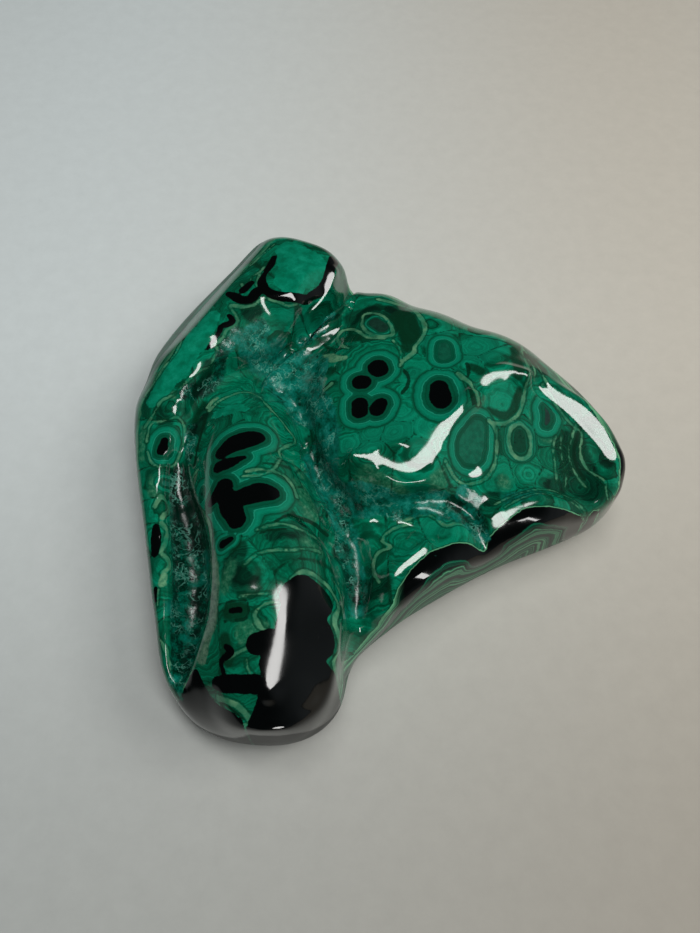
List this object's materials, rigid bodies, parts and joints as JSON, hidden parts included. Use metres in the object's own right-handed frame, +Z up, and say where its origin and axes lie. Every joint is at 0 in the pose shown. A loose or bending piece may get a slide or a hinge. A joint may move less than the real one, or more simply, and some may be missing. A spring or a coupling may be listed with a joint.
{
  "type": "polished malachite specimen",
  "caption": "Palm-sized freeform of botryoidal malachite, polished on its lobes, with natural hollows between them and a flat base to stand on.",
  "frame": {"origin": "middle of the outline's bounding box, on the flat base", "axes": "+Z up from the base, +Y towards the back where the hooked ridge ends, +X towards the blunt point of the dome"},
  "size_m": [0.0918, 0.1022, 0.0264],
  "materials": {
    "malachite": "polished banded malachite, rough in the hollows"
  },
  "bodies": {
    "root": {"stone": "malachite"}
  },
  "joints": []
}
